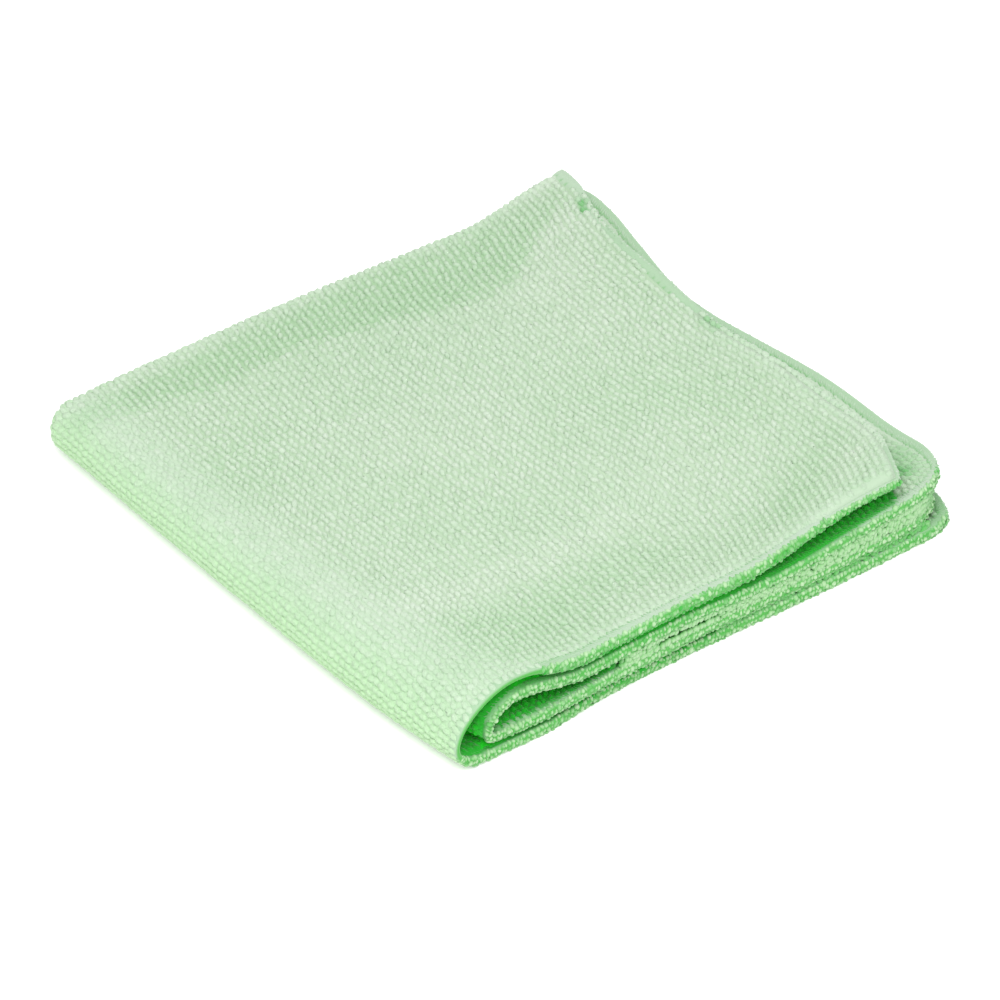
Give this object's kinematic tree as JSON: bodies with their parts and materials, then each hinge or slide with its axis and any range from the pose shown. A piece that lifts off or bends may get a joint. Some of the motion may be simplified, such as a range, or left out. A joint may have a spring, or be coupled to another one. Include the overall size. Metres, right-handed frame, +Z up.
{
  "type": "microfibre cloth",
  "caption": "Looped microfibre cleaning cloth with an overlocked hem, folded to a flat square that lies with its free edges slightly fanned.",
  "frame": {"origin": "middle of the footprint, on the surface that the folded cloth lies on", "axes": "+Z up through the layers; the first fold runs along the -X side and the second along the -Y side, so the free hems are at +X and +Y"},
  "size_m": [0.2072, 0.2086, 0.0292],
  "materials": {
    "cloth": "matt looped pile"
  },
  "bodies": {
    "root": {"cloth": "cloth"}
  },
  "joints": []
}
